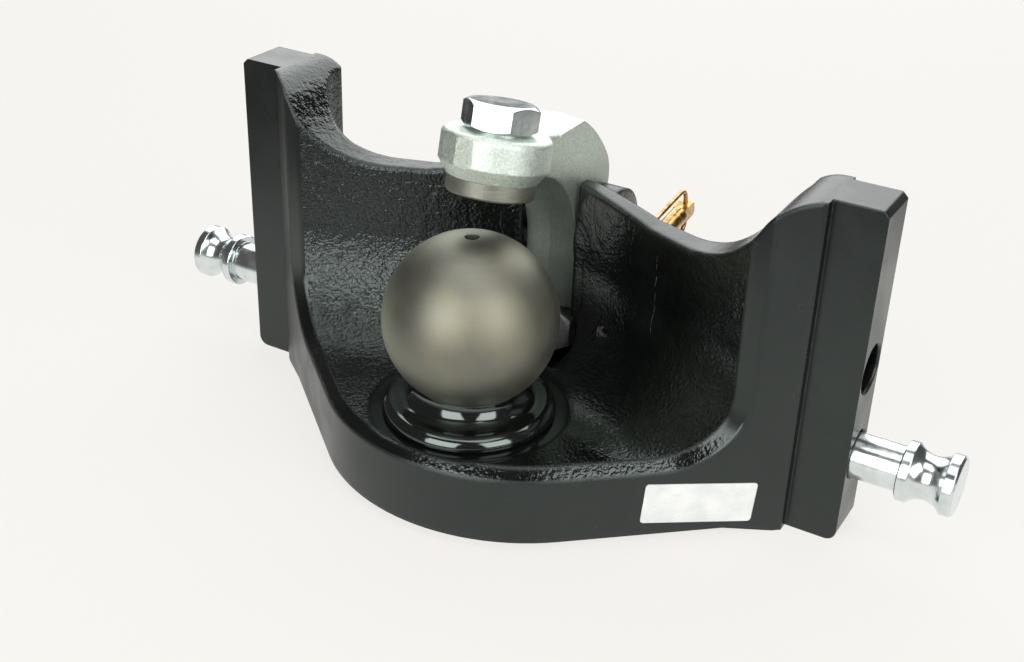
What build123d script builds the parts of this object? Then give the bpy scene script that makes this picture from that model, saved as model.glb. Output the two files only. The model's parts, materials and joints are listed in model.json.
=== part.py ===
from build123d import *
import math
import os

# Ball coupling for a slide-in drawbar frame.
# Millimetres. X runs along the side pins, Y points from the ball towards the tractor, Z is up.
# Heights here are measured from the foot of the rails, with the ball's axis at X = Y = 0.
# The finished pieces are moved down at the end, so that the origin is the ball's centre.

# Coupling ball and its seat
BALL_DIAMETER = 80.0
BALL_HEIGHT = 86.5
BALL_HOLE_DIAMETER = 6.5
BALL_HOLE_DEPTH = 12.0
NECK_RADIUS = 24.5
FLANGE_RADIUS = 40.0
FLANGE_HEIGHT = 6.5
FLANGE_FOOT = 1.0
FLANGE_ROUND = 5.0
NECK_FLARE = 7.5
SHANK_RADIUS = 17.0
THREAD_RADIUS = 15.0
BALL_NUT_FLATS = 46.0
BALL_NUT_HEIGHT = 15.0
BALL_WASHER_RADIUS = 28.0
BALL_WASHER_HEIGHT = 4.0

# Housing
OUTER_WIDTH = 330.0
RAIL_FACE_WIDTH = 23.7
RAIL_THICKNESS = 25.0
RAIL_FRONT = 48.2
RAIL_HEIGHT = 162.0
RAIL_TOP_CHAMFER = 2.5
RAIL_FOOT_ROUND = 5.0
BLOCK_BACK = 76.0
NOSE_RADIUS = 95.5
NOSE_CENTRE = 47.0
SIDE_ANGLE = 41.0
UNDERCUT = 4.0
UNDERCUT_HALF_WIDTH = 120.0
UNDERCUT_RUN = 18.0
FLOOR_HEIGHT = 41.0
FLOOR_FILLET = 30.0
POCKET_HALF_WIDTH = 122.0
POCKET_BACK = 70.0
POCKET_EDGE_BEVEL = 5.0
WALL_THICKNESS = 9.0
WALL_END_THICKNESS = 17.0
SPOT_FACE_RADIUS = 46.7
SPOT_FACE_DEPTH = 1.0
SADDLE_HEIGHT = 126.0
SADDLE_FLAT = 78.0
SADDLE_RADIUS = 48.0
SADDLE_CROWN = 5.0
SADDLE_CROWN_START = 60.0
SHOULDER_ROUND = 20.0
RIM_ROUND = 2.0
RECESS_FLOOR = 24.0
RECESS_END = 125.5
RECESS_CORNER = 20.0
NUT_RECESS_RADIUS = 32.0

# Rear tower that carries the hold-down
SLOT_WIDTH = 30.6
SLOT_FLOOR = 30.0
SLOT_FRONT = 48.0
SLOT_FOOT_HALF = 21.0
SLOT_FOOT_TOP = 62.0
SLOT_FOOT_DEPTH = 4.0
LUG_HALF_WIDTH = 27.5
LUG_RADIUS = 21.8
WEB_HEIGHT = 57.0
WEB_THICKNESS = 8.0
BOSS_RADIUS = 17.0
BOSS_REACH = 1.0

# Hold-down arm
ARM_WIDTH = 26.8
ARM_FRONT = 71.7
ARM_BACK = 104.0
FOOT_FRONT = 83.0
FOOT_BACK = 98.0
FOOT_TOP = 62.3
FOOT_BOTTOM = 36.0
FOOT_CHAMFER = 5.0
ARM_BEND_START = 97.4
ARM_BEND_SAG = -6.2
ARM_NECK_Y = 47.0
ARM_NECK_RISE = 52.8
ARM_ROOT_Y = 25.0
ARM_ROOT_LOW = 63.5
ARM_ROOT_HIGH = 75.0
ARM_NOTCH_Y = 46.0
ARM_NOTCH_RISE = 70.5
ARM_CREST_FRONT = 52.6
ARM_CREST_BACK = 74.7
ARM_CREST_RISE = 74.4
ARM_BACK_BEND_Y = 99.5
ARM_BACK_BEND_RISE = 52.0
ARM_BACK_SAG = 1.7
ARM_HIP_RISE = 31.0
ARM_HIP_SAG = 2.8
HEAD_TILT = 13.5
HEAD_REACH = 57.3
HEAD_LOW_RADIUS = 20.0
HEAD_RADIUS = 24.5
HEAD_TOP_RADIUS = 22.5
HEAD_BAND = 13.5
HEAD_HEIGHT = 27.2
HEAD_TOP_ROUND = 3.0
HEAD_BLEND = 14.0
HEAD_NECK_END = 44.0
HEAD_FLAT_DEPTH = 0.5
HEAD_FLATS = (5.0, 25.0)
ARM_DRAFT = 5.0
PAD_DIAMETER = 39.5
PAD_THICKNESS = 7.3
PAD_BOLT_FLATS = 30.0
PAD_BOLT_HEAD = 12.2
PAD_BOLT_RADIUS = 10.0
PAD_BOLT_END = 2.0
PAD_BOLT_TURN = 16.0

# Pivot, lock and stop
PIVOT_Y = 88.0
PIVOT_Z = 70.5
PIVOT_RADIUS = 8.0
PIVOT_LENGTH = 90.0
ROLL_PIN_INSET = 8.0
ROLL_PIN_Z = 62.8
ROLL_PIN_RADIUS = 3.0
ROLL_PIN_BORE = 1.7
ROLL_PIN_FRONT = 61.5
ROLL_PIN_BACK = 101.0
LOCK_Y = 88.0
LOCK_Z = 102.0
LOCK_RADIUS = 10.0
LOCK_END = 52.0
LOCK_HEAD_RADIUS = 12.0
LOCK_HEAD_LENGTH = 6.0
STOP_Z = 48.0
STOP_RADIUS = 8.0
STOP_FLATS = 24.0
STOP_HEAD = 10.0

# Linch pin and its ring
LINCH_X = 47.0
LINCH_TILT = 8.0
LINCH_RADIUS = 3.5
LINCH_COLLAR_RADIUS = 4.5
LINCH_BLOCK_FRONT = 115.5
LINCH_BLOCK_LENGTH = 10.5
LINCH_BLOCK_SIZE = 7.0
RING_HINGE_Y = 123.0
RING_WIRE_RADIUS = 1.1
RING_FRONT = 75.0
RING_HALF_HEIGHT = 11.7
RING_CORNER = 6.0

# Side pins and their bores
BORE_RADIUS = 11.25
BORE_LOW_HEIGHT = 40.5
BORE_PITCH = 43.5
BORE_CHAMFER = 0.8
BORE_SPOT_MARGIN = 2.5
PIN_RADIUS = 10.5
PIN_REST_DROP = 0.4
PIN_INNER_END = 128.0
LEFT_PIN_SHIFT = 2.8
COLLAR_INNER = 186.5
COLLAR_LENGTH = 5.0
COLLAR_RADIUS = 13.8
PIN_NECK_RADIUS = 10.2
KNOB_START = 205.5
KNOB_RADIUS = 14.0
PIN_OUTER_END = 211.5

# Clearances, each on the radius or on the gap
PRESS_GAP = 0.02
RUNNING_GAP = 0.06
LOCK_GAP = 0.30
LOCK_ARM_GAP = 0.50
LINCH_GAP = 0.30
SEAT_GAP = 0.30

# How far cutting tools run past what they cut
OVERSHOOT = 40.0

# Values that follow from the ones above
HALF_WIDTH = OUTER_WIDTH / 2
RAIL_INNER = HALF_WIDTH - RAIL_FACE_WIDTH
RAIL_BACK = RAIL_FRONT + RAIL_THICKNESS
SLOPE = math.tan(math.radians(SIDE_ANGLE))
NOSE_X = NOSE_RADIUS * math.sin(math.radians(SIDE_ANGLE))
NOSE_Y = NOSE_CENTRE - NOSE_RADIUS * math.cos(math.radians(SIDE_ANGLE))
NOSE_FRONT = NOSE_CENTRE - NOSE_RADIUS
SLOT_HALF = SLOT_WIDTH / 2
BALL_RADIUS = BALL_DIAMETER / 2
TOWER_BACK = LOCK_Y + LUG_RADIUS
BORE_HIGH_HEIGHT = BORE_LOW_HEIGHT + BORE_PITCH
PIN_Y = (RAIL_FRONT + RAIL_BACK) / 2
PIN_Z = BORE_LOW_HEIGHT - PIN_REST_DROP
SEAT_HEIGHT = FLOOR_HEIGHT - SPOT_FACE_DEPTH
BALL_WASHER_TOP = RECESS_FLOOR
BALL_NUT_TOP = BALL_WASHER_TOP - BALL_WASHER_HEIGHT
BALL_STUD_END = BALL_NUT_TOP - BALL_NUT_HEIGHT
SADDLE_RISE = SADDLE_HEIGHT + SADDLE_RADIUS - RAIL_HEIGHT
SADDLE_END = SADDLE_FLAT + math.sqrt(SADDLE_RADIUS**2 - SADDLE_RISE**2)
ROLL_PIN_X = PIVOT_LENGTH / 2 - ROLL_PIN_INSET
BOSS_HALF_WIDTH = PIVOT_LENGTH / 2 + BOSS_REACH
PIN_TRAVEL_IN = COLLAR_INNER - HALF_WIDTH
BORE_RELIEF = PIN_INNER_END - PIN_TRAVEL_IN - BORE_SPOT_MARGIN
HIGH = RAIL_HEIGHT + OVERSHOOT


def side_y(x):
    """Y of the flat side face of the tongue at a given X."""
    return NOSE_Y + (x - NOSE_X) * SLOPE


WALL_START = side_y(POCKET_HALF_WIDTH)
WALL_SLOPE = (POCKET_BACK - WALL_START) / (POCKET_HALF_WIDTH - SLOT_HALF)


def wall_y(x):
    """Y of the pocket's back wall at a given X, on its front face."""
    return WALL_START + (POCKET_HALF_WIDTH - x) * WALL_SLOPE


def wall_back_y(x):
    """Y of the same wall on its back face; the wall grows thicker outwards."""
    share = (x - SLOT_HALF) / (RECESS_END - SLOT_HALF)
    thickness = WALL_THICKNESS + share * (WALL_END_THICKNESS - WALL_THICKNESS)
    return wall_y(x) + thickness * math.hypot(1.0, WALL_SLOPE)


def block(x0, x1, y0, y1, z0, z1):
    """A plain box between two corners."""
    return Pos((x0 + x1) / 2, (y0 + y1) / 2, (z0 + z1) / 2) * Box(x1 - x0, y1 - y0, z1 - z0)


def rod_x(radius, x0, x1, y, z):
    """A round bar along X."""
    return Pos((x0 + x1) / 2, y, z) * Rot(0, 90, 0) * Cylinder(radius, x1 - x0)


def rod_y(radius, x, y0, y1, z):
    """A round bar along Y."""
    return Pos(x, (y0 + y1) / 2, z) * Rot(90, 0, 0) * Cylinder(radius, y1 - y0)


def rod_z(radius, x, y, z0, z1):
    """An upright round bar."""
    return Pos(x, y, (z0 + z1) / 2) * Cylinder(radius, z1 - z0)


def turned(points):
    """A solid turned about Z from (radius, height) points."""
    return revolve(Plane.XZ * make_face(Polyline(*points, close=True)), Axis.Z, 360)


def hexagon(flats, height, turn=0.0, low_chamfer=True):
    """A hexagon prism standing on Z = 0 with chamfered corners."""
    corner = flats / 2 / math.cos(math.radians(30)) + 0.05
    face = flats * 0.475
    drop = (corner - face) * math.tan(math.radians(30))
    low = face if low_chamfer else corner
    prism = extrude(Rot(0, 0, turn) * RegularPolygon(flats / 2, 6, major_radius=False), height)
    outline = [(0, 0), (low, 0)]
    if low_chamfer:
        outline.append((corner, drop))
    outline += [(corner, height - drop), (face, height), (0, height)]
    return prism & turned(outline)


def mirrored(points):
    """A closed plan outline from its right half."""
    return points + [(-x, y) for x, y in reversed(points)]


def tongue_block():
    """The housing's full-height plan: tongue, blocks and rails."""
    right = [
        (NOSE_X, NOSE_Y),
        (RAIL_INNER, side_y(RAIL_INNER)),
        (RAIL_INNER, RAIL_FRONT),
        (HALF_WIDTH, RAIL_FRONT),
        (HALF_WIDTH, RAIL_BACK),
        (RAIL_INNER, RAIL_BACK),
        (RAIL_INNER, BLOCK_BACK),
    ]
    nose = ThreePointArc((-NOSE_X, NOSE_Y), (0, NOSE_FRONT), (NOSE_X, NOSE_Y))
    solid = extrude(make_face([nose, Polyline(*mirrored(right))]), RAIL_HEIGHT)
    outer = solid.edges().filter_by(Axis.Y).filter_by(lambda e: abs(abs(e.center().X) - HALF_WIDTH) < 0.01)
    solid = chamfer(outer.filter_by(lambda e: e.center().Z > RAIL_FOOT_ROUND), RAIL_TOP_CHAMFER)
    outer = solid.edges().filter_by(Axis.Y).filter_by(lambda e: abs(abs(e.center().X) - HALF_WIDTH) < 0.01)
    solid = fillet(outer.filter_by(lambda e: e.center().Z < RAIL_FOOT_ROUND), RAIL_FOOT_ROUND)
    return solid


def pocket():
    """The hollow in front of the wall, with its deep floor fillet."""
    right = [
        (POCKET_HALF_WIDTH, NOSE_FRONT - 20.0),
        (POCKET_HALF_WIDTH, WALL_START),
        (SLOT_HALF, POCKET_BACK),
    ]
    solid = extrude(make_face(Polyline(*mirrored(right), close=True)), HIGH)
    solid = Pos(0, 0, FLOOR_HEIGHT) * solid
    bends = solid.edges().filter_by(Axis.Z).filter_by(lambda e: e.center().Y > POCKET_BACK - 1.0)
    solid = fillet(bends, FLOOR_FILLET)
    foot = solid.edges().filter_by(lambda e: e.center().Z < FLOOR_HEIGHT + 0.01)
    foot = foot.filter_by(lambda e: e.center().Y > WALL_START + 5.0)
    return fillet(foot, FLOOR_FILLET)


def is_front_edge(edge):
    """True for the edges where the pocket opens through the tongue's front."""
    spot = edge @ 0.5
    across = abs(spot.X)
    if spot.Z < FLOOR_HEIGHT - 0.5:
        return False
    if across < NOSE_X:
        return abs(math.hypot(across, spot.Y - NOSE_CENTRE) - NOSE_RADIUS) < 0.05
    on_side = abs(spot.Y - side_y(across)) < 0.05
    return on_side and across < POCKET_HALF_WIDTH + 0.5 and spot.Z < RAIL_HEIGHT - 0.5


def saddle():
    """The dip in the top of the wall, cut straight through from front to back."""
    reach = math.asin((SADDLE_END - SADDLE_FLAT) / SADDLE_RADIUS) / 2
    mid_x = SADDLE_FLAT + SADDLE_RADIUS * math.sin(reach)
    mid_z = SADDLE_HEIGHT + SADDLE_RADIUS * (1 - math.cos(reach))
    edges = []
    for side in (1, -1):
        flat = (side * SADDLE_FLAT, SADDLE_HEIGHT)
        end = (side * SADDLE_END, RAIL_HEIGHT)
        edges.append(Line((side * SADDLE_CROWN_START, SADDLE_HEIGHT), flat))
        edges.append(ThreePointArc(flat, (side * mid_x, mid_z), end))
        edges.append(Line(end, (side * SADDLE_END, HIGH)))
    edges.append(
        ThreePointArc(
            (-SADDLE_CROWN_START, SADDLE_HEIGHT),
            (0, SADDLE_HEIGHT + SADDLE_CROWN),
            (SADDLE_CROWN_START, SADDLE_HEIGHT),
        )
    )
    edges.append(Line((-SADDLE_END, HIGH), (SADDLE_END, HIGH)))
    return extrude(Plane.XZ * make_face(edges), 200.0, both=True)


def back_recess(side):
    """The hollow behind one half of the wall, open to the back."""
    start = LUG_HALF_WIDTH - 5.0
    points = [
        (side * start, wall_back_y(start)),
        (side * RECESS_END, wall_back_y(RECESS_END)),
        (side * RECESS_END, BLOCK_BACK + 20.0),
        (side * start, BLOCK_BACK + 20.0),
    ]
    solid = Pos(0, 0, RECESS_FLOOR) * extrude(make_face(Polyline(*points, close=True)), HIGH)
    corner = solid.edges().filter_by(Axis.Z)
    corner = corner.filter_by(lambda e: abs(e.center().Y - wall_back_y(RECESS_END)) < 0.01)
    return fillet(corner, RECESS_CORNER)


def undercut():
    """The shallow relief under the tongue, running out towards the rails' feet."""
    wide = UNDERCUT_HALF_WIDTH + UNDERCUT_RUN
    points = [
        (wide, 0),
        (UNDERCUT_HALF_WIDTH, UNDERCUT),
        (-UNDERCUT_HALF_WIDTH, UNDERCUT),
        (-wide, 0),
        (-wide, -5.0),
        (wide, -5.0),
    ]
    return extrude(Plane.XZ * make_face(Polyline(*points, close=True)), 200.0, both=True)


def is_shoulder_edge(edge):
    """True for the inner top edges of the two shoulders."""
    spot = edge @ 0.5
    return abs(spot.Z - RAIL_HEIGHT) < 0.01 and abs(abs(spot.X) - SADDLE_END) < 0.01


def is_rim_edge(edge):
    """True for the long edges where the saddle meets the wall's two faces."""
    spot = edge @ 0.5
    across = abs(spot.X)
    if across < SLOT_HALF + 1.0 or across > SADDLE_END - 8.0:
        return False
    if spot.Z < SADDLE_HEIGHT - 0.1 or abs((edge % 0.5).Y) > 0.95:
        return False
    return edge.length > 8.0 and spot.Y > WALL_START + 2.0


def tower():
    """The two lugs, the pivot bosses and the stop web behind the wall."""
    front = ARM_FRONT - 4.0
    solid = block(-LUG_HALF_WIDTH, LUG_HALF_WIDTH, front, TOWER_BACK, UNDERCUT, LOCK_Z)
    solid += rod_x(LUG_RADIUS, -LUG_HALF_WIDTH, LUG_HALF_WIDTH, LOCK_Y, LOCK_Z)
    solid += rod_x(BOSS_RADIUS, -BOSS_HALF_WIDTH, BOSS_HALF_WIDTH, PIVOT_Y, PIVOT_Z)
    return solid


def slot():
    """The gap the arm stands in, with the stop web left at its foot."""
    solid = block(-SLOT_HALF, SLOT_HALF, SLOT_FRONT, TOWER_BACK - WEB_THICKNESS, SLOT_FLOOR, HIGH)
    solid += block(-SLOT_HALF, SLOT_HALF, POCKET_BACK, TOWER_BACK + OVERSHOOT, WEB_HEIGHT, HIGH)
    back = POCKET_BACK + SLOT_FOOT_DEPTH
    foot = block(-SLOT_FOOT_HALF, SLOT_FOOT_HALF, SLOT_FRONT, back, FLOOR_HEIGHT, SLOT_FOOT_TOP)
    return solid + fillet(foot.edges().filter_by(Axis.Y).group_by(Axis.Z)[-1], SLOT_FOOT_HALF - SLOT_HALF)


def side_bore(side, height):
    """One side-pin bore with its mouth chamfer and the relief its pin slides into."""
    tool = rod_x(BORE_RADIUS, RECESS_END - OVERSHOOT / 4, HALF_WIDTH + OVERSHOOT, 0, 0)
    tool += rod_x(BORE_RADIUS + BORE_SPOT_MARGIN, BORE_RELIEF, RECESS_END, 0, 0)
    mouth = Cone(BORE_RADIUS, BORE_RADIUS + BORE_CHAMFER, BORE_CHAMFER)
    tool += Pos(HALF_WIDTH - BORE_CHAMFER / 2, 0, 0) * Rot(0, 90, 0) * mouth
    if side < 0:
        tool = mirror(tool, about=Plane.YZ)
    return Pos(0, PIN_Y, height) * tool


def housing():
    """The one-piece casting."""
    solid = tongue_block() - pocket()
    solid = chamfer(solid.edges().filter_by(is_front_edge), POCKET_EDGE_BEVEL)
    solid -= saddle()
    solid = fillet(solid.edges().filter_by(is_shoulder_edge), SHOULDER_ROUND)
    for side in (1, -1):
        solid -= back_recess(side)
    solid = fillet(solid.edges().filter_by(is_rim_edge), RIM_ROUND)
    solid += tower()
    solid -= slot()
    solid -= undercut()
    solid -= rod_z(SPOT_FACE_RADIUS, 0, 0, SEAT_HEIGHT, FLOOR_HEIGHT + FLOOR_FILLET)
    solid -= rod_z(SHANK_RADIUS + SEAT_GAP, 0, 0, 0, FLOOR_HEIGHT)
    solid -= rod_z(NUT_RECESS_RADIUS, 0, 0, 0, RECESS_FLOOR)
    solid -= rod_x(PIVOT_RADIUS + PRESS_GAP, -BOSS_HALF_WIDTH, BOSS_HALF_WIDTH, PIVOT_Y, PIVOT_Z)
    solid -= rod_x(LOCK_RADIUS + LOCK_GAP, -LOCK_END, LOCK_END, LOCK_Y, LOCK_Z)
    solid -= rod_y(ROLL_PIN_RADIUS + PRESS_GAP, ROLL_PIN_X, SLOT_FRONT, TOWER_BACK + OVERSHOOT, ROLL_PIN_Z)
    for side in (1, -1):
        for height in (BORE_LOW_HEIGHT, BORE_HIGH_HEIGHT):
            solid -= side_bore(side, height)
    return solid


def ball():
    """Ball, neck, seat flange and threaded stud, turned in one piece."""
    meet = BALL_HEIGHT - math.sqrt(BALL_RADIUS**2 - NECK_RADIUS**2)
    rim = SEAT_HEIGHT + FLANGE_HEIGHT
    top = BALL_HEIGHT + BALL_RADIUS
    rim_top = (FLANGE_RADIUS - FLANGE_ROUND, rim)
    rim_side = (FLANGE_RADIUS, rim - FLANGE_ROUND)
    flare = (NECK_RADIUS + NECK_FLARE, rim)
    stud = Polyline(
        (0, BALL_STUD_END),
        (THREAD_RADIUS, BALL_STUD_END),
        (THREAD_RADIUS, BALL_WASHER_TOP),
        (SHANK_RADIUS, BALL_WASHER_TOP),
        (SHANK_RADIUS, SEAT_HEIGHT),
        (FLANGE_RADIUS - FLANGE_FOOT, SEAT_HEIGHT),
        (FLANGE_RADIUS, SEAT_HEIGHT + FLANGE_FOOT),
        rim_side,
    )
    edges = [
        stud,
        RadiusArc(rim_side, rim_top, -FLANGE_ROUND),
        Line(rim_top, flare),
        TangentArc(flare, (NECK_RADIUS, meet), tangent=(-1, 0)),
        ThreePointArc((NECK_RADIUS, meet), (BALL_RADIUS, BALL_HEIGHT), (0, top)),
        Line((0, top), (0, BALL_STUD_END)),
    ]
    solid = revolve(Plane.XZ * make_face(edges), Axis.Z, 360)
    solid -= rod_z(BALL_HOLE_DIAMETER / 2, 0, 0, top - BALL_HOLE_DEPTH, top + 1.0)
    return solid


def ball_washer():
    """Plain washer under the floor."""
    solid = rod_z(BALL_WASHER_RADIUS, 0, 0, BALL_NUT_TOP, BALL_WASHER_TOP)
    return solid - rod_z(THREAD_RADIUS + SEAT_GAP, 0, 0, 0, FLOOR_HEIGHT)


def ball_nut():
    """Thin hexagon nut on the ball's stud."""
    solid = Pos(0, 0, BALL_STUD_END) * hexagon(BALL_NUT_FLATS, BALL_NUT_HEIGHT)
    return solid - rod_z(THREAD_RADIUS + PRESS_GAP, 0, 0, 0, FLOOR_HEIGHT)


def head_place(height):
    """A location on the tilted head axis, height measured from the pad's face."""
    return Pos(0, 0, BALL_HEIGHT) * Rot(-HEAD_TILT, 0, 0) * Pos(0, 0, HEAD_REACH + height)


def arm_profile():
    """Side outline of the arm in the Y-Z plane; its upper part follows the ball's height."""
    bend = (ARM_FRONT, ARM_BEND_START)
    neck = (ARM_NECK_Y, BALL_HEIGHT + ARM_NECK_RISE)
    root_low = (ARM_ROOT_Y, BALL_HEIGHT + ARM_ROOT_LOW)
    root_high = (ARM_ROOT_Y, BALL_HEIGHT + ARM_ROOT_HIGH)
    notch = (ARM_NOTCH_Y, BALL_HEIGHT + ARM_NOTCH_RISE)
    crest_front = (ARM_CREST_FRONT, BALL_HEIGHT + ARM_CREST_RISE)
    crest_back = (ARM_CREST_BACK, BALL_HEIGHT + ARM_CREST_RISE)
    back_bend = (ARM_BACK_BEND_Y, BALL_HEIGHT + ARM_BACK_BEND_RISE)
    hip = (ARM_BACK, BALL_HEIGHT + ARM_HIP_RISE)
    foot = [
        hip,
        (ARM_BACK, FOOT_TOP + FOOT_CHAMFER),
        (FOOT_BACK, FOOT_TOP),
        (FOOT_BACK, FOOT_BOTTOM),
        (FOOT_FRONT, FOOT_BOTTOM),
        (FOOT_FRONT, FOOT_TOP),
        (ARM_FRONT, FOOT_TOP),
        bend,
    ]
    edges = [
        SagittaArc(bend, neck, ARM_BEND_SAG),
        Polyline(neck, root_low, root_high, notch, crest_front, crest_back),
        SagittaArc(crest_back, back_bend, ARM_BACK_SAG),
        SagittaArc(back_bend, hip, ARM_HIP_SAG),
        Polyline(*foot),
    ]
    return make_face(edges)


def head_plan(radius, width):
    """Plan of the head along its own axis: a round eye drawn out into the arm."""
    neck = Pos(0, HEAD_NECK_END / 2) * Rectangle(width, HEAD_NECK_END)
    plan = Circle(radius) + neck
    meet = math.sqrt(radius**2 - (width / 2) ** 2)
    corners = plan.vertices().filter_by(lambda v: abs(v.Y - meet) < 0.01)
    return fillet(corners, HEAD_BLEND)


def arm_head():
    """The eye over the ball with its tapered underside, rounded top and two ground flats."""
    taper = math.degrees(math.atan((HEAD_RADIUS - HEAD_LOW_RADIUS) / (HEAD_BAND - PAD_THICKNESS)))
    plan = head_plan(HEAD_RADIUS, ARM_WIDTH)
    upper = extrude(Pos(0, 0, HEAD_BAND) * plan, HEAD_HEIGHT - HEAD_BAND)
    upper = fillet(upper.edges().group_by(Axis.Z)[-1], HEAD_TOP_ROUND)
    lower = extrude(Pos(0, 0, HEAD_BAND) * plan, PAD_THICKNESS - HEAD_BAND, taper=taper)
    solid = upper + lower
    for angle in HEAD_FLATS:
        cut = HEAD_RADIUS - HEAD_FLAT_DEPTH
        flat = block(-HEAD_RADIUS, HEAD_RADIUS, -cut - OVERSHOOT, -cut, 0, HEAD_HEIGHT + OVERSHOOT)
        solid -= Rot(0, 0, -angle) * flat
    return head_place(0) * solid


def hold_down_arm():
    """Forged arm with its head, pivot hole, lock hole and stop-screw hole."""
    solid = extrude(Plane.YZ * arm_profile(), ARM_WIDTH / 2, both=True, taper=ARM_DRAFT)
    solid += arm_head()
    solid -= head_place(0) * rod_z(PAD_BOLT_RADIUS + SEAT_GAP, 0, 0, 0, HEAD_HEIGHT + OVERSHOOT)
    solid -= rod_x(PIVOT_RADIUS + RUNNING_GAP, -OVERSHOOT, OVERSHOOT, PIVOT_Y, PIVOT_Z)
    solid -= rod_x(LOCK_RADIUS + LOCK_ARM_GAP, -OVERSHOOT, OVERSHOOT, LOCK_Y, LOCK_Z)
    solid -= rod_y(STOP_RADIUS + PRESS_GAP, 0, FOOT_FRONT - OVERSHOOT, FOOT_BACK + OVERSHOOT, STOP_Z)
    return solid


def pressure_pad():
    """Round steel pad under the head."""
    solid = rod_z(PAD_DIAMETER / 2, 0, 0, 0, PAD_THICKNESS)
    solid = chamfer(solid.edges().group_by(Axis.Z)[0], 0.8)
    solid -= rod_z(PAD_BOLT_RADIUS + PRESS_GAP, 0, 0, PAD_BOLT_END, HEAD_HEIGHT)
    return head_place(0) * solid


def pad_bolt():
    """Hexagon bolt through the head into the pad."""
    washer_face = 0.8
    solid = Pos(0, 0, HEAD_HEIGHT + washer_face) * hexagon(PAD_BOLT_FLATS, PAD_BOLT_HEAD, PAD_BOLT_TURN)
    solid += rod_z(PAD_BOLT_FLATS * 0.46, 0, 0, HEAD_HEIGHT, HEAD_HEIGHT + washer_face)
    solid += rod_z(PAD_BOLT_RADIUS, 0, 0, PAD_BOLT_END, HEAD_HEIGHT)
    return head_place(0) * solid


def pivot_pin():
    """Fixed pin through the bosses and the arm."""
    solid = rod_x(PIVOT_RADIUS, -PIVOT_LENGTH / 2, PIVOT_LENGTH / 2, PIVOT_Y, PIVOT_Z)
    solid = chamfer(solid.edges().filter_by(GeomType.CIRCLE), 1.0)
    return solid - rod_y(ROLL_PIN_RADIUS + PRESS_GAP, ROLL_PIN_X, SLOT_FRONT, TOWER_BACK + OVERSHOOT, ROLL_PIN_Z)


def pivot_roll_pin():
    """Slotted spring pin that holds the pivot pin in the casting."""
    solid = rod_y(ROLL_PIN_RADIUS, ROLL_PIN_X, ROLL_PIN_FRONT, ROLL_PIN_BACK, ROLL_PIN_Z)
    solid -= rod_y(ROLL_PIN_BORE, ROLL_PIN_X, SLOT_FRONT, TOWER_BACK + OVERSHOOT, ROLL_PIN_Z)
    slit = block(ROLL_PIN_X - 0.4, ROLL_PIN_X + 0.4, SLOT_FRONT, TOWER_BACK, ROLL_PIN_Z, ROLL_PIN_Z + 5.0)
    return solid - slit


def stop_screw():
    """Hexagon screw in the arm's foot; its tip sets the closed position."""
    head = Rot(90, 0, 0) * hexagon(STOP_FLATS, STOP_HEAD, 30.0, low_chamfer=False)
    solid = Pos(0, FOOT_FRONT, STOP_Z) * head
    tip = TOWER_BACK - WEB_THICKNESS - SEAT_GAP
    return solid + rod_y(STOP_RADIUS, 0, FOOT_FRONT, tip, STOP_Z)


def lock_pin():
    """Loose pin through both lugs and the arm, cross-drilled for the linch pin."""
    head = -LUG_HALF_WIDTH - SEAT_GAP
    solid = rod_x(LOCK_RADIUS, head, LOCK_END, LOCK_Y, LOCK_Z)
    solid = chamfer(solid.edges().filter_by(GeomType.CIRCLE).sort_by(Axis.X)[-1], 1.5)
    cap = rod_x(LOCK_HEAD_RADIUS, head - LOCK_HEAD_LENGTH, head, LOCK_Y, LOCK_Z)
    solid += chamfer(cap.edges().filter_by(GeomType.CIRCLE).sort_by(Axis.X)[0], 1.0)
    hole = rod_y(LINCH_RADIUS + LINCH_GAP, LINCH_X, SLOT_FRONT, TOWER_BACK + OVERSHOOT, LOCK_Z)
    return solid - linch_place() * hole


def linch_place():
    """Turns the linch pin's pieces about the lock pin's axis."""
    return Pos(0, LOCK_Y, LOCK_Z) * Rot(LINCH_TILT, 0, 0) * Pos(0, -LOCK_Y, -LOCK_Z)


def linch_pin():
    """Linch pin: shank, collar and the block its ring turns in."""
    collar_front = LOCK_Y + LOCK_RADIUS + SEAT_GAP
    tip = RING_FRONT + RING_WIRE_RADIUS + SEAT_GAP
    block_back = LINCH_BLOCK_FRONT + LINCH_BLOCK_LENGTH
    half = LINCH_BLOCK_SIZE / 2
    shank = rod_y(LINCH_RADIUS, LINCH_X, tip, LINCH_BLOCK_FRONT, LOCK_Z)
    shank = chamfer(shank.edges().filter_by(GeomType.CIRCLE).sort_by(Axis.Y)[0], 0.8)
    head = block(LINCH_X - half, LINCH_X + half, LINCH_BLOCK_FRONT, block_back, LOCK_Z - half, LOCK_Z + half)
    head = chamfer(head.edges().filter_by(Axis.X), 1.2)
    solid = shank + rod_y(LINCH_COLLAR_RADIUS, LINCH_X, collar_front, LINCH_BLOCK_FRONT, LOCK_Z) + head
    hole = RING_WIRE_RADIUS + RUNNING_GAP
    solid -= rod_z(hole, LINCH_X, RING_HINGE_Y, LOCK_Z - OVERSHOOT, LOCK_Z + OVERSHOOT)
    return linch_place() * solid


def linch_ring():
    """Spring wire loop that snaps over the lock pin's end."""
    gap = 1.5
    low = LOCK_Z - RING_HALF_HEIGHT
    high = LOCK_Z + RING_HALF_HEIGHT
    path = FilletPolyline(
        (LINCH_X, RING_HINGE_Y, LOCK_Z + gap),
        (LINCH_X, RING_HINGE_Y, high),
        (LINCH_X, RING_FRONT, high),
        (LINCH_X, RING_FRONT, low),
        (LINCH_X, RING_HINGE_Y, low),
        (LINCH_X, RING_HINGE_Y, LOCK_Z - gap),
        radius=RING_CORNER,
    )
    start = Plane((LINCH_X, RING_HINGE_Y, LOCK_Z + gap), z_dir=(0, 0, 1))
    return linch_place() * sweep(start * Circle(RING_WIRE_RADIUS), path)


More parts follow.
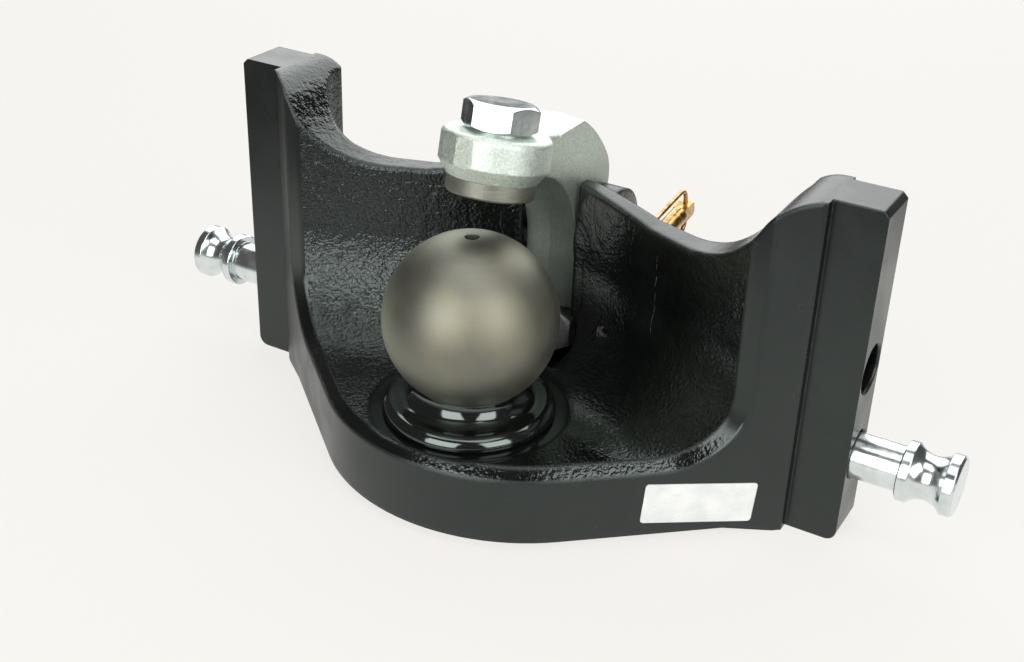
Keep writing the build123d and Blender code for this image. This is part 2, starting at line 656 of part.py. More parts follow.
def side_pin(side):
    """Turned side pin with its collar and knob."""
    collar_end = COLLAR_INNER + COLLAR_LENGTH
    edges = [
        Line((0, PIN_INNER_END), (PIN_RADIUS - 1.5, PIN_INNER_END)),
        Line((PIN_RADIUS - 1.5, PIN_INNER_END), (PIN_RADIUS, PIN_INNER_END + 1.5)),
        Line((PIN_RADIUS, PIN_INNER_END + 1.5), (PIN_RADIUS, COLLAR_INNER)),
        Line((PIN_RADIUS, COLLAR_INNER), (COLLAR_RADIUS - 0.6, COLLAR_INNER)),
        Line((COLLAR_RADIUS - 0.6, COLLAR_INNER), (COLLAR_RADIUS, COLLAR_INNER + 0.6)),
        Line((COLLAR_RADIUS, COLLAR_INNER + 0.6), (COLLAR_RADIUS, collar_end - 0.6)),
        Line((COLLAR_RADIUS, collar_end - 0.6), (COLLAR_RADIUS - 0.6, collar_end)),
        ThreePointArc(
            (COLLAR_RADIUS - 0.6, collar_end),
            (PIN_NECK_RADIUS, (collar_end + KNOB_START) / 2),
            (KNOB_RADIUS - 0.8, KNOB_START),
        ),
        Line((KNOB_RADIUS - 0.8, KNOB_START), (KNOB_RADIUS, KNOB_START + 0.8)),
        Line((KNOB_RADIUS, KNOB_START + 0.8), (KNOB_RADIUS, PIN_OUTER_END - 1.2)),
        Line((KNOB_RADIUS, PIN_OUTER_END - 1.2), (KNOB_RADIUS - 1.2, PIN_OUTER_END)),
        Line((KNOB_RADIUS - 1.2, PIN_OUTER_END), (0, PIN_OUTER_END)),
        Line((0, PIN_OUTER_END), (0, PIN_INNER_END)),
    ]
    solid = revolve(Plane.XZ * make_face(edges), Axis.Z, 360)
    shift = 0.0 if side > 0 else LEFT_PIN_SHIFT
    return Pos(shift, PIN_Y, PIN_Z) * Rot(0, side * 90, 0) * solid


nodes = {
    "housing": housing(),
    "ball": ball(),
    "ball_washer": ball_washer(),
    "ball_nut": ball_nut(),
    "hold_down_arm": hold_down_arm(),
    "pressure_pad": pressure_pad(),
    "pad_bolt": pad_bolt(),
    "pivot_pin": pivot_pin(),
    "pivot_roll_pin": pivot_roll_pin(),
    "stop_screw": stop_screw(),
    "lock_pin": lock_pin(),
    "linch_pin": linch_pin(),
    "linch_ring": linch_ring(),
    "side_pin_left": side_pin(-1),
    "side_pin_right": side_pin(1),
}

os.makedirs("parts", exist_ok=True)
for name, solid in nodes.items():
    export_step(Pos(0, 0, -BALL_HEIGHT) * solid, f"parts/{name}.step")
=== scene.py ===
import json
import math

import bmesh
import bpy
from mathutils import Matrix, Vector


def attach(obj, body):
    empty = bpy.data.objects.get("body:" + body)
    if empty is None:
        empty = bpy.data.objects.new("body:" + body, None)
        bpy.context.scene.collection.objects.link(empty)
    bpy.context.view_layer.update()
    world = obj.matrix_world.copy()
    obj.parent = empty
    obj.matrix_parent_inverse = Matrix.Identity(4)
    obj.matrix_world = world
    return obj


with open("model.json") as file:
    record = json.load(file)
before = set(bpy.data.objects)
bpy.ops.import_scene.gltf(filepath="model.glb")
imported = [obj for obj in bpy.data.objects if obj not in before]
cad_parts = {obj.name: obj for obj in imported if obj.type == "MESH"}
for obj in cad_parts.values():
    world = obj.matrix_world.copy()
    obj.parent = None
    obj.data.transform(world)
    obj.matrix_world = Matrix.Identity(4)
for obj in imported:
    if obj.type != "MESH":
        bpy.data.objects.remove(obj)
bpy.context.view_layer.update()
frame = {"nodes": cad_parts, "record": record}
nodes = frame["nodes"]

# Places shared with the source, in metres, with the ball's centre as the origin
FOOT = -0.0865
NECK_TOP = -0.0318
NOSE_RADIUS = 0.0955
NOSE_CENTRE = 0.047
NOSE_END = -0.020
SIDE_ANGLE = math.radians(41)
RAIL_INNER = 0.1413
SADDLE_LOW = 0.030
BEVEL_DEPTH = 0.0062
LIP_DEPTH = 0.0055
LIP_HALF = 0.0008
SPOT_FACE = 0.0467
SPOT_LEVEL = (-0.043, -0.044)
# Heights over which the painted shade on the arm's shank grows, from none at the upper one to its fullest at
# the lower
SHANK_SHADE_TOP = 0.060
SHANK_SHADE_LOW = 0.025
LEDGE_TOP = -0.032
POCKET_FLOOR = -0.0455
POCKET_HALF = 0.122
WALL_START = 0.02652
WALL_SLOPE = 0.4075

# How softly the casting's zones end, in metres, and the upward tilts of the saddle's top and rim
NOSE_FADE = 0.004
SADDLE_FADE = 0.004
FRONT_FADE = (-0.0012, -0.0003)
BEVEL_FADE = 0.0008
LEDGE_FADE = 0.006
LEDGE_SIDE = (POCKET_HALF + 0.004, POCKET_HALF + 0.002)
RAIL_FADE = (RAIL_INNER - 0.0022, RAIL_INNER - 0.0012)
POCKET_FADE = (-0.002, -0.0005)
SPOT_FADE = 0.0004
NECK_FADE = (NECK_TOP - 0.0004, NECK_TOP + 0.0006)
TOP_TILT = (0.35, 0.7)
RIM_TILT = ((0.05, 0.2), (0.75, 0.9))

# The casting's scoop between wall and floor, and a flash line on the right wall
SCOOP_RADIUS = 0.052
SCOOP_LOW = 0.7 * SCOOP_RADIUS
FLASH_X = 0.0665
FLASH_LOW = -0.0105
FLASH_HIGH = 0.029
FLASH_HALF = 0.00022
FLASH_FADE = 0.001
FLASH_WANDER = 0.004
FLASH_BREAKS = (0.47, 0.58)

# The paint's edge radii, its colours, and its roughness by zone
CRISP_EDGE = 0.0012
CAST_EDGE = 0.0032
PAINT_DARK = (0.0022, 0.0026, 0.0025, 1)
PAINT_LIGHT = (0.0045, 0.0051, 0.0049, 1)
PAINT_CHIP = (0.060, 0.060, 0.058, 1)
PAINT_FLASH = (0.045, 0.046, 0.044, 1)
POCKET_GLOSS = (0.09, 0.16)
TOP_GLOSS = 0.30
RIM_GLOSS = 0.10
BEVEL_GLOSS = 0.20
LEDGE_GLOSS = 0.10
FRONT_GLOSS = (0.34, 0.42)
RAIL_GLOSS = (0.26, 0.34)

# The paint's grain: noise scale, detail, noise roughness and bump depth in metres
SWELL = (170, 1.0, 0.5, 0.0012)
SAND = (650, 2.0, 0.5, 0.0007)
LEDGE_GRAIN = (520, 2.0, 0.5, 0.00025)
LIP_GRAIN = (1100, 3.0, 0.6, 0.0008)
RIM_GRAIN = (330, 2.0, 0.5, 0.0007)
RAIL_GRAIN = (2200, 2.0, 0.5, 0.00004)
SKIN_DEPTH = 0.00009
FLASH_DEPTH = 0.0004
SCOOP_DEPTH = 1.0

# Along x, from where to where the sand thins out to the smoother right wall, and how far
SAND_SPAN = (-0.02, 0.03, 1.0, 0.35)

# The metals' colours
BALL_DARK = (0.205, 0.205, 0.176, 1)
BALL_LIGHT = (0.262, 0.250, 0.190, 1)
BALL_LINE = (0.300, 0.292, 0.238, 1)
BALL_SPECK = (0.130, 0.127, 0.105, 1)
FLANGE_BLACK = (0.0035, 0.0036, 0.0037, 1)
FORGING_DARK = (0.560, 0.640, 0.565, 1)
FORGING_LIGHT = (0.800, 0.880, 0.810, 1)
FORGING_PATCH = (0.680, 0.740, 0.610, 1)
# Colour of the painted shade on the arm's lower shank, where the slot shades it
FORGING_SHADE = (0.300, 0.360, 0.310, 1)
FORGING_EDGE = (0.860, 0.900, 0.850, 1)
TURNED_DARK = (0.225, 0.228, 0.190, 1)
TURNED_LIGHT = (0.300, 0.300, 0.255, 1)
PLATED_DARK = (0.640, 0.705, 0.705, 1)
PLATED_LIGHT = (0.780, 0.835, 0.835, 1)
PLATED_EDGE = (0.86, 0.88, 0.88, 1)
MATT_DARK = (0.72, 0.76, 0.76, 1)
MATT_LIGHT = (0.88, 0.90, 0.90, 1)
MATT_EDGE = (0.94, 0.95, 0.95, 1)
GOLD_DARK = (0.30, 0.165, 0.050, 1)
GOLD_LIGHT = (0.66, 0.44, 0.18, 1)
SPRING_DARK = (0.16, 0.16, 0.155, 1)
SPRING_LIGHT = (0.30, 0.295, 0.285, 1)
SPRING_EDGE = (0.60, 0.60, 0.58, 1)
FOIL_DARK = (0.62, 0.64, 0.62, 1)
FOIL_LIGHT = (0.74, 0.75, 0.73, 1)
FOIL_SCUFF = (0.50, 0.52, 0.50, 1)
FOIL_EDGE = (0.36, 0.37, 0.36, 1)

# The bare plate on the right front face, placed along that face from the nose's end
PLATE_WIDTH = 0.052
PLATE_HEIGHT = 0.0205
PLATE_CORNER = 0.0016
PLATE_STEPS = 5
PLATE_THICK = 0.0004
PLATE_ALONG = 0.0635
PLATE_RISE = -0.0674
PLATE_TILT = math.radians(-4.4)

# The photograph's camera
CAMERA_PLACE = Vector((0.294807, -0.480474, 0.303903))
CAMERA_YAW = math.radians(29.638)
CAMERA_PITCH = math.radians(28.801)
CAMERA_ROLL = math.radians(2.017)
SENSOR_WIDTH = 36
CAMERA_LENS = SENSOR_WIDTH * 1433.2 / 1024
CAMERA_NEAR = 0.02

# The backdrop's colour as it shows to the camera, and the share of it that takes no shadow
BACKDROP = (0.913, 0.895, 0.862, 1)
BACKDROP_SHARE = 0.85
SKY_LEVEL = 0.10
FLOOR_HALF = 6
FLOOR_COLOUR = (0.80, 0.79, 0.76, 1)

# In reflections the floor is a lit table top: its centre, half sizes, and where it fades to what
TABLE_CENTRE = (0.06, 0.12)
TABLE_REACH = (0.46, 0.34)
TABLE_FADE = (0.9, 1.3)
TABLE_DARK = 0.15

# Soft boxes: azimuth from the front towards +X, elevation, distance, width, height and radiance
SOFT_BOXES = {
    "box_left": (-3, 23, 1.35, 0.92, 1.15, 4.4),
    "box_right": (68, 26, 1.35, 0.78, 1.15, 4.2),
    "box_back": (-163, 35, 1.60, 2.20, 1.75, 2.5),
    "box_top": (5, 84, 1.50, 1.50, 0.80, 2.4),
}
AIM = Vector((0, 0.02, 0))


class Shader:
    """One material's node tree with short helpers to add and join nodes."""

    def __init__(self, name, **surface):
        self.material = bpy.data.materials.new(name)
        self.material.use_nodes = True
        self.tree = self.material.node_tree
        self.surface = self.tree.nodes["Principled BSDF"]
        for socket, value in surface.items():
            self.surface.inputs[socket.replace("_", " ")].default_value = value
        self.coordinates = self.add("ShaderNodeTexCoord").outputs
        self.place = self.coordinates["Object"]

    def add(self, kind, **values):
        node = self.tree.nodes.new(kind)
        for name, value in values.items():
            setattr(node, name, value)
        return node

    def feed(self, socket, value):
        if isinstance(value, bpy.types.NodeSocket):
            self.tree.links.new(value, socket)
        else:
            socket.default_value = value

    def math(self, operation, *values):
        node = self.add("ShaderNodeMath", operation=operation)
        for socket, value in zip(node.inputs, values):
            self.feed(socket, value)
        return node.outputs[0]

    def times(self, a, b):
        return self.math("MULTIPLY", a, b)

    def without(self, a, b):
        return self.math("SUBTRACT", a, b)

    def axes(self, vector=None):
        node = self.add("ShaderNodeSeparateXYZ")
        self.feed(node.inputs[0], vector or self.place)
        return node.outputs

    def reach(self, a, b):
        """Length of a step of a along one axis and b along the other."""
        squares = (self.math("POWER", leg, 2.0) for leg in (a, b))
        return self.math("SQRT", self.math("ADD", *squares))

    def stretched(self, x, y, z):
        node = self.add("ShaderNodeMapping")
        self.feed(node.inputs["Vector"], self.place)
        node.inputs["Scale"].default_value = (x, y, z)
        return node.outputs[0]

    def noise(self, scale, detail=2.0, rough=0.5, vector=None):
        node = self.add("ShaderNodeTexNoise")
        self.feed(node.inputs["Vector"], vector or self.place)
        node.inputs["Scale"].default_value = scale
        node.inputs["Detail"].default_value = detail
        node.inputs["Roughness"].default_value = rough
        return node.outputs["Fac"]

    def cells(self, scale):
        node = self.add("ShaderNodeTexVoronoi", feature="SMOOTH_F1")
        self.feed(node.inputs["Vector"], self.place)
        node.inputs["Scale"].default_value = scale
        return node.outputs["Distance"]

    def between(self, value, low, high, start=0.0, end=1.0):
        node = self.add("ShaderNodeMapRange", interpolation_type="SMOOTHSTEP")
        for socket, number in zip(node.inputs, (value, low, high, start, end)):
            self.feed(socket, number)
        return node.outputs[0]

    def mix(self, share, a, b):
        node = self.add("ShaderNodeMix", data_type="RGBA")
        self.feed(node.inputs["Factor"], share)
        self.feed(node.inputs[6], a)
        self.feed(node.inputs[7], b)
        return node.outputs[2]

    def blend(self, share, a, b):
        node = self.add("ShaderNodeMix", data_type="FLOAT")
        self.feed(node.inputs["Factor"], share)
        self.feed(node.inputs[2], a)
        self.feed(node.inputs[3], b)
        return node.outputs[0]

    def turn(self, share, a, b):
        node = self.add("ShaderNodeMix", data_type="VECTOR")
        self.feed(node.inputs[0], share)
        self.feed(node.inputs[4], a)
        self.feed(node.inputs[5], b)
        return node.outputs[1]

    def bump(self, height, distance, strength, under):
        node = self.add("ShaderNodeBump")
        self.feed(node.inputs["Height"], height)
        node.inputs["Distance"].default_value = distance
        self.feed(node.inputs["Strength"], strength)
        self.feed(node.inputs["Normal"], under)
        return node.outputs[0]

    def grain(self, size, strength, under):
        """Bump from a noise whose scale, detail, roughness and depth are given together."""
        *pattern, depth = size
        return self.bump(self.noise(*pattern), depth, strength, under)

    def edges(self, radius):
        """A normal that is rounded over the edges, and a mask that is 1 on them."""
        rounded = self.add("ShaderNodeBevel", samples=6)
        rounded.inputs["Radius"].default_value = radius
        turn = self.add("ShaderNodeVectorMath", operation="DOT_PRODUCT")
        self.feed(turn.inputs[0], rounded.outputs[0])
        self.feed(turn.inputs[1], self.add("ShaderNodeNewGeometry").outputs["Normal"])
        return rounded.outputs[0], self.between(turn.outputs["Value"], 0.99, 0.88)

    def finish(self, colour, roughness, normal, metallic=None):
        self.feed(self.surface.inputs["Base Color"], colour)
        self.feed(self.surface.inputs["Roughness"], roughness)
        self.feed(self.surface.inputs["Normal"], normal)
        if metallic is not None:
            self.feed(self.surface.inputs["Metallic"], metallic)
        return self.material


def casting_zones(s):
    """Masks of the front, its bevel, the bevel's low ledge and lip, the rails, and the saddle's top and rim."""
    x, y, z = s.axes()
    across = s.math("ABSOLUTE", x)
    side = s.times(across, math.sin(SIDE_ANGLE))
    ahead = s.times(s.without(NOSE_CENTRE, y), math.cos(SIDE_ANGLE))
    flat = s.without(s.math("ADD", side, ahead), NOSE_RADIUS)
    nose = s.without(s.reach(x, s.without(y, NOSE_CENTRE)), NOSE_RADIUS)
    nose = s.blend(s.between(y, NOSE_END, NOSE_END - NOSE_FADE), -1.0, nose)
    depth = s.math("MAXIMUM", flat, nose)
    up = s.axes(s.coordinates["Normal"])[2]
    high = s.between(z, SADDLE_LOW, SADDLE_LOW + SADDLE_FADE)
    top = s.times(s.between(up, *TOP_TILT), high)
    rim = s.times(s.without(*(s.between(up, *tilt) for tilt in RIM_TILT)), high)
    upright = s.without(1.0, s.math("MAXIMUM", top, rim))
    front = s.times(s.between(depth, *FRONT_FADE), upright)
    behind = s.times(s.between(depth, -BEVEL_DEPTH, -BEVEL_DEPTH + BEVEL_FADE), upright)
    bevel = s.without(behind, front)
    ledge = s.times(bevel, s.between(z, LEDGE_TOP, LEDGE_TOP - LEDGE_FADE))
    ledge = s.times(ledge, s.between(across, *LEDGE_SIDE))
    off = s.math("ABSOLUTE", s.math("ADD", depth, LIP_DEPTH))
    lip = s.times(ledge, s.between(off, LIP_HALF, LIP_HALF / 2))
    rail = s.between(across, *RAIL_FADE)
    return front, bevel, ledge, lip, rail, top, rim


def scoop(s):
    """Height of the scoop between the pocket's wall and floor, and masks of the pocket and its low part."""
    x, y, z = s.axes()
    inward = s.without(POCKET_HALF, s.math("ABSOLUTE", x))
    wall = s.math("MULTIPLY_ADD", inward, WALL_SLOPE, WALL_START)
    ahead = s.times(s.without(wall, y), math.cos(math.atan(WALL_SLOPE)))
    above = s.without(z, POCKET_FLOOR)
    legs = []
    for gap in (ahead, above):
        short = s.math("MAXIMUM", s.without(SCOOP_RADIUS, gap), 0.0)
        legs.append(s.math("MINIMUM", short, SCOOP_RADIUS))
    inside = s.times(*(s.between(gap, *POCKET_FADE) for gap in (ahead, above)))
    low = s.times(inside, s.between(above, SCOOP_RADIUS, SCOOP_LOW))
    return s.reach(*legs), inside, low


def spot_face(s):
    """Mask that is 0 on the machined seat round the ball's flange."""
    x, y, z = s.axes()
    near = s.between(s.reach(x, y), SPOT_FACE, SPOT_FACE - SPOT_FADE)
    return s.without(1.0, s.times(near, s.between(z, *SPOT_LEVEL)))


def flash_line(s):
    """Mask of the thin broken line that the mould left on the right wall."""
    x, _, z = s.axes()
    wander = s.times(s.without(s.noise(60), 0.5), FLASH_WANDER)
    off = s.math("ABSOLUTE", s.math("ADD", s.without(x, FLASH_X), wander))
    line = s.between(off, FLASH_HALF, FLASH_HALF / 3)
    start = s.between(z, FLASH_LOW - FLASH_FADE, FLASH_LOW)
    end = s.between(z, FLASH_HIGH + FLASH_FADE, FLASH_HIGH)
    line = s.times(line, s.times(start, end))
    return s.times(line, s.between(s.noise(420, 1.0), *FLASH_BREAKS))


def black_paint():
    """Gloss black paint: rough casting in the pocket, smooth on the front, machined on the rails."""
    s = Shader("black_paint", IOR=1.6, Specular_Tint=(0.87, 1.0, 0.95, 1))
    front, bevel, ledge, lip, rail, top, rim = casting_zones(s)
    crisp, worn = s.edges(CRISP_EDGE)
    rounded = s.turn(rail, s.edges(CAST_EDGE)[0], crisp)
    smooth = s.math("MAXIMUM", s.math("MAXIMUM", front, bevel), rail)
    cast = s.without(s.without(1.0, smooth), s.times(top, 0.3))
    cast = s.times(cast, spot_face(s))
    hollow, inside, low = scoop(s)
    flash = s.times(flash_line(s), inside)
    sand = s.times(cast, s.between(s.axes()[0], *SAND_SPAN))
    coarse = s.times(sand, s.blend(low, 0.7, 1.0))
    base = s.bump(hollow, SCOOP_DEPTH, s.times(cast, inside), rounded)
    base = s.grain(SWELL, s.times(sand, 0.5), base)
    base = s.grain(SAND, coarse, base)
    base = s.grain(LEDGE_GRAIN, ledge, base)
    base = s.grain(LIP_GRAIN, lip, base)
    base = s.grain(RIM_GRAIN, s.times(rim, cast), base)
    base = s.bump(flash, FLASH_DEPTH, 1.0, base)
    pits = s.between(s.cells(52), 0.075, 0.03)
    skin = s.without(s.noise(1300), s.times(pits, 3.0))
    base = s.bump(skin, SKIN_DEPTH, s.times(front, 0.8), base)
    base = s.grain(RAIL_GRAIN, s.times(rail, 0.5), base)
    cloud = s.between(s.noise(35, 3.0), 0.35, 0.7)
    chips = s.between(s.noise(260, 3.0), 0.5, 0.72, 0.0, 0.35)
    shade = s.mix(cloud, PAINT_DARK, PAINT_LIGHT)
    shade = s.mix(s.times(worn, chips), shade, PAINT_CHIP)
    shade = s.mix(flash, shade, PAINT_FLASH)
    gloss = s.between(s.noise(150, 3.0), 0.3, 0.7, *POCKET_GLOSS)
    gloss = s.blend(top, gloss, TOP_GLOSS)
    gloss = s.blend(rim, gloss, RIM_GLOSS)
    gloss = s.blend(bevel, gloss, BEVEL_GLOSS)
    gloss = s.blend(ledge, gloss, LEDGE_GLOSS)
    gloss = s.blend(front, gloss, s.between(cloud, 0.0, 1.0, *FRONT_GLOSS))
    gloss = s.blend(rail, gloss, s.between(cloud, 0.0, 1.0, *RAIL_GLOSS))
    return s.finish(shade, gloss, base)


def ball_steel():
    """Satin turned steel ball with a black painted neck and flange."""
    s = Shader("ball_steel", IOR=1.95, Specular_Tint=(0.86, 1.0, 0.94, 1))
    rounded = s.edges(0.0006)[0]
    steel = s.between(s.axes()[2], *NECK_FADE)
    lines = s.noise(1.0, 3.0, 0.6, s.stretched(18, 18, 2200))
    cloud = s.noise(26, 3.0, 0.55)
    specks = s.between(s.cells(240), 0.10, 0.03, 0.0, 0.25)
    tone = s.mix(s.between(cloud, 0.35, 0.65), BALL_DARK, BALL_LIGHT)
    tone = s.mix(s.between(lines, 0.3, 0.7, 0.0, 0.18), tone, BALL_LINE)
    tone = s.mix(specks, tone, BALL_SPECK)
    colour = s.mix(steel, FLANGE_BLACK, tone)
    rough = s.blend(steel, 0.10, s.between(cloud, 0.3, 0.7, 0.48, 0.56))
    normal = s.bump(lines, 0.00002, s.times(steel, 0.35), rounded)
    return s.finish(colour, rough, normal, steel)


def grey_zinc():
    """Pale grain of a zinc coat on a forging, with painted shade darkening the arm's lower shank."""
    s = Shader("grey_zinc", Metallic=1.0)
    rounded, worn = s.edges(0.0012)
    grain = s.noise(950, 4.0, 0.7)
    patch = s.noise(45, 3.0, 0.55)
    tone = s.mix(s.between(grain, 0.35, 0.68), FORGING_DARK, FORGING_LIGHT)
    tone = s.mix(s.between(patch, 0.45, 0.75, 0.0, 0.45), tone, FORGING_PATCH)
    # Painted shade: the tone darkens down the shank, where the slot shades the arm
    tone = s.mix(s.between(s.axes()[2], SHANK_SHADE_TOP, SHANK_SHADE_LOW, 0.0, 0.55), tone, FORGING_SHADE)
    tone = s.mix(s.times(worn, 0.35), tone, FORGING_EDGE)
    rough = s.between(grain, 0.3, 0.75, 0.48, 0.60)
    swell = s.bump(s.noise(150), 0.0006, 0.35, rounded)
    return s.finish(tone, rough, s.bump(grain, 0.00022, 0.8, swell))


def bare_steel():
    """Turned bare steel with a taupe cast."""
    s = Shader("bare_steel", Metallic=1.0)
    rounded = s.edges(0.0006)[0]
    lines = s.noise(1.0, 3.0, 0.6, s.stretched(40, 40, 2400))
    tone = s.mix(s.between(lines, 0.3, 0.7), TURNED_DARK, TURNED_LIGHT)
    grain = s.bump(s.noise(900, 3.0, 0.6), 0.00012, 0.5, rounded)
    rough = s.between(lines, 0.3, 0.7, 0.46, 0.58)
    return s.finish(tone, rough, s.bump(lines, 0.00003, 0.4, grain))


def bright_zinc():
    """Bright zinc plate with faint drawn lines."""
    s = Shader("bright_zinc", Metallic=1.0)
    rounded, worn = s.edges(0.0007)
    lines = s.noise(1.0, 3.0, 0.6, s.stretched(1500, 60, 60))
    cloud = s.noise(110, 3.0, 0.55)
    tone = s.mix(s.between(cloud, 0.3, 0.7), PLATED_DARK, PLATED_LIGHT)
    tone = s.mix(s.times(worn, 0.4), tone, PLATED_EDGE)
    rough = s.between(cloud, 0.3, 0.75, 0.16, 0.26)
    dents = s.bump(s.noise(170, 1.0), 0.0003, 0.25, rounded)
    return s.finish(tone, rough, s.bump(lines, 0.00004, 0.5, dents))


def dull_zinc():
    """Matt zinc of the stop screw, which stands in the pocket's shade."""
    s = Shader("dull_zinc", Metallic=0.7)
    rounded, worn = s.edges(0.0006)
    cloud = s.noise(300, 3.0, 0.6)
    tone = s.mix(s.between(cloud, 0.3, 0.7), MATT_DARK, MATT_LIGHT)
    tone = s.mix(s.times(worn, 0.4), tone, MATT_EDGE)
    rough = s.between(cloud, 0.3, 0.7, 0.40, 0.52)
    return s.finish(tone, rough, s.bump(cloud, 0.0001, 0.5, rounded))


def gold_zinc():
    """Yellow passivated zinc with a shifting tint."""
    s = Shader("gold_zinc", Metallic=1.0)
    rounded = s.edges(0.0004)[0]
    tint = s.noise(240, 3.0, 0.6)
    tone = s.mix(s.between(tint, 0.35, 0.65), GOLD_DARK, GOLD_LIGHT)
    rough = s.between(tint, 0.3, 0.7, 0.18, 0.32)
    return s.finish(tone, rough, s.bump(tint, 0.00006, 0.4, rounded))


def spring_steel():
    """Oiled spring steel with brighter edges."""
    s = Shader("spring_steel", Metallic=0.9)
    rounded, worn = s.edges(0.0003)
    tint = s.noise(300, 3.0, 0.6)
    tone = s.mix(s.between(tint, 0.3, 0.7), SPRING_DARK, SPRING_LIGHT)
    tone = s.mix(worn, tone, SPRING_EDGE)
    rough = s.between(tint, 0.3, 0.7, 0.28, 0.42)
    return s.finish(tone, rough, s.bump(tint, 0.00005, 0.5, rounded))


def plate_film():
    """Pale scuffed foil of the bare plate."""
    s = Shader("plate_film", Metallic=0.15)
    rounded, worn = s.edges(0.0003)
    streaks = s.noise(1.0, 4.0, 0.7, s.stretched(260, 260, 1200))
    scuff = s.between(streaks, 0.52, 0.72, 0.0, 0.5)
    cloud = s.between(s.noise(70, 3.0), 0.35, 0.7)
    tone = s.mix(cloud, FOIL_DARK, FOIL_LIGHT)
    tone = s.mix(scuff, tone, FOIL_SCUFF)
    tone = s.mix(s.times(worn, 0.5), tone, FOIL_EDGE)
    rough = s.between(cloud, 0.0, 1.0, 0.30, 0.42)
    return s.finish(tone, rough, s.bump(scuff, 0.00005, 0.4, rounded))


def bare_plate():
    """A blank foil plate with rounded corners, stuck on the right front face."""
    bm = bmesh.new()
    ring = []
    for turn, (side, rise) in enumerate(((1, 1), (-1, 1), (-1, -1), (1, -1))):
        for step in range(PLATE_STEPS + 1):
            angle = (turn + step / PLATE_STEPS) * math.pi / 2
            across = side * (PLATE_WIDTH / 2 - PLATE_CORNER) + PLATE_CORNER * math.cos(angle)
            along = rise * (PLATE_HEIGHT / 2 - PLATE_CORNER) + PLATE_CORNER * math.sin(angle)
            ring.append(bm.verts.new((across, along, 0)))
    face = bm.faces.new(ring)
    raised = bmesh.ops.extrude_face_region(bm, geom=[face])["geom"]
    lifted = [v for v in raised if isinstance(v, bmesh.types.BMVert)]
    bmesh.ops.translate(bm, vec=(0, 0, PLATE_THICK), verts=lifted)
    bmesh.ops.recalc_face_normals(bm, faces=bm.faces)
    along = Vector((math.cos(SIDE_ANGLE), math.sin(SIDE_ANGLE), 0))
    out = Vector((math.sin(SIDE_ANGLE), -math.cos(SIDE_ANGLE), 0))
    place = Vector((0, NOSE_CENTRE, PLATE_RISE)) + out * NOSE_RADIUS + along * PLATE_ALONG
    turn = Matrix((along, Vector((0, 0, 1)), out)).transposed().to_4x4()
    bm.transform(Matrix.Translation(place) @ turn @ Matrix.Rotation(PLATE_TILT, 4, "Z"))
    mesh = bpy.data.meshes.new("bare_plate")
    bm.to_mesh(mesh)
    bm.free()
    mesh.materials.append(plate_film())
    piece = bpy.data.objects.new("bare_plate", mesh)
    bpy.context.scene.collection.objects.link(piece)
    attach(piece, "frame_casting")


def dress():
    """Every CAD node takes the material of its record slot, and the stop screw a duller zinc."""
    made = {f.__name__: f() for f in (
        black_paint, ball_steel, grey_zinc, bare_steel, bright_zinc, gold_zinc, spring_steel
    )}
    for part in frame["record"]["subparts"]:
        mesh = nodes[part["node"]].data
        mesh.materials.clear()
        mesh.materials.append(made[part["material_slot"]])
    nodes["stop_screw"].data.materials[0] = dull_zinc()


def floor():
    """Pale floor that shows the backdrop's colour and keeps the shadow."""
    half = FLOOR_HALF
    corners = [(-half, -half, FOOT), (half, -half, FOOT), (half, half, FOOT), (-half, half, FOOT)]
    mesh = bpy.data.meshes.new("floor")
    mesh.from_pydata(corners, [], [(0, 1, 2, 3)])
    ground = bpy.data.objects.new("floor", mesh)
    bpy.context.scene.collection.objects.link(ground)
    s = Shader("floor", Roughness=0.9, Base_Color=FLOOR_COLOUR)
    rays = s.add("ShaderNodeLightPath").outputs
    seen = s.math("MAXIMUM", rays["Is Camera Ray"], rays["Is Glossy Ray"])
    seen = s.math("MAXIMUM", seen, rays["Is Transmission Ray"])
    away = []
    for axis, centre, span in zip(s.axes(), TABLE_CENTRE, TABLE_REACH):
        away.append(s.math("DIVIDE", s.without(axis, centre), span))
    table = s.between(s.reach(*away), *TABLE_FADE, 1.0, TABLE_DARK)
    glow = s.add("ShaderNodeEmission")
    glow.inputs["Color"].default_value = BACKDROP
    s.feed(glow.inputs["Strength"], s.blend(rays["Is Camera Ray"], table, 1.0))
    blend = s.add("ShaderNodeMixShader")
    s.feed(blend.inputs[0], s.times(seen, BACKDROP_SHARE))
    s.feed(blend.inputs[1], s.surface.outputs[0])
    s.feed(blend.inputs[2], glow.outputs[0])
    s.feed(s.tree.nodes["Material Output"].inputs["Surface"], blend.outputs[0])
    mesh.materials.append(s.material)


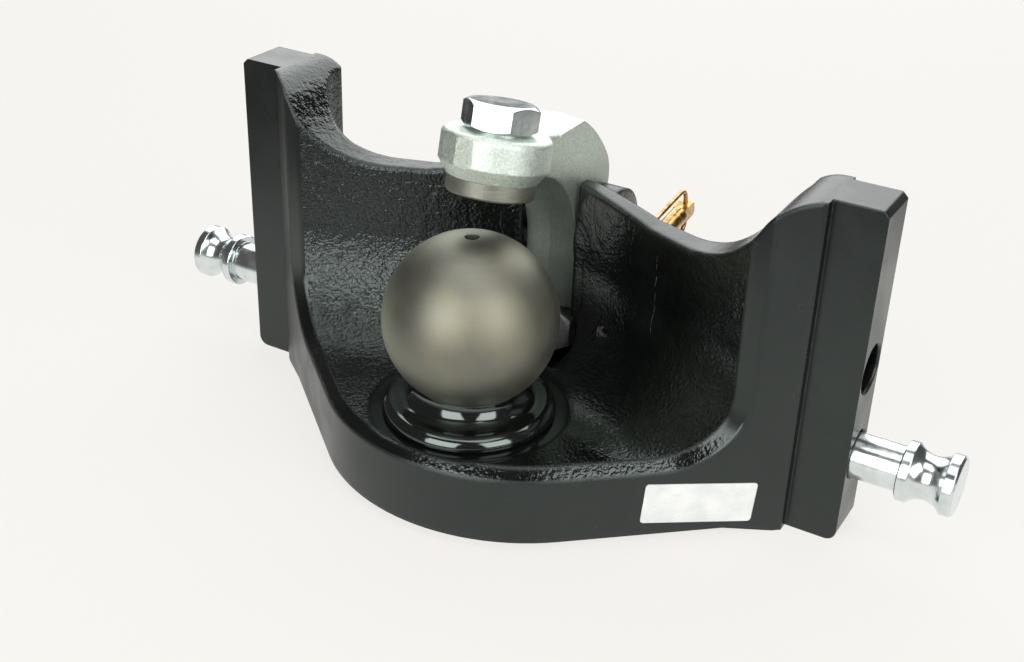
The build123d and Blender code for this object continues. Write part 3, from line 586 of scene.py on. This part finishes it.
def sky():
    """An even sky, which shows the camera the backdrop's colour."""
    world = bpy.data.worlds.new("sky")
    world.use_nodes = True
    tree = world.node_tree
    background = tree.nodes["Background"]
    background.inputs["Color"].default_value = BACKDROP
    rays = tree.nodes.new("ShaderNodeLightPath").outputs
    level = tree.nodes.new("ShaderNodeMapRange")
    level.inputs["To Min"].default_value = SKY_LEVEL
    tree.links.new(rays["Is Camera Ray"], level.inputs["Value"])
    tree.links.new(level.outputs[0], background.inputs["Strength"])
    bpy.context.scene.world = world


def lamps():
    """The soft boxes, each turned to the part."""
    for name, (azimuth, elevation, distance, width, height, radiance) in SOFT_BOXES.items():
        light = bpy.data.lights.new(name, "AREA")
        light.shape = "RECTANGLE"
        light.size, light.size_y = width, height
        light.energy = radiance * math.pi * width * height
        azimuth, elevation = math.radians(azimuth), math.radians(elevation)
        away = Vector((
            math.sin(azimuth) * math.cos(elevation),
            -math.cos(azimuth) * math.cos(elevation),
            math.sin(elevation),
        ))
        lamp = bpy.data.objects.new(name, light)
        lamp.location = AIM + distance * away
        lamp.rotation_euler = (-away).to_track_quat("-Z", "Y").to_euler()
        lamp.visible_camera = False
        bpy.context.scene.collection.objects.link(lamp)


def camera():
    """The camera solved from the photograph."""
    data = bpy.data.cameras.new("camera")
    data.sensor_width = SENSOR_WIDTH
    data.lens = CAMERA_LENS
    data.clip_start = CAMERA_NEAR
    ahead = Vector((
        -math.sin(CAMERA_YAW) * math.cos(CAMERA_PITCH),
        math.cos(CAMERA_YAW) * math.cos(CAMERA_PITCH),
        -math.sin(CAMERA_PITCH),
    ))
    level = Vector((math.cos(CAMERA_YAW), math.sin(CAMERA_YAW), 0))
    up = level.cross(ahead)
    right = math.cos(CAMERA_ROLL) * level + math.sin(CAMERA_ROLL) * up
    up = math.cos(CAMERA_ROLL) * up - math.sin(CAMERA_ROLL) * level
    turn = Matrix((right, up, -ahead)).transposed()
    eye = bpy.data.objects.new("camera", data)
    eye.matrix_world = Matrix.Translation(CAMERA_PLACE) @ turn.to_4x4()
    bpy.context.scene.collection.objects.link(eye)
    bpy.context.scene.camera = eye


bpy.context.scene.view_settings.view_transform = "Standard"
dress()
bare_plate()
floor()
sky()
lamps()
camera()
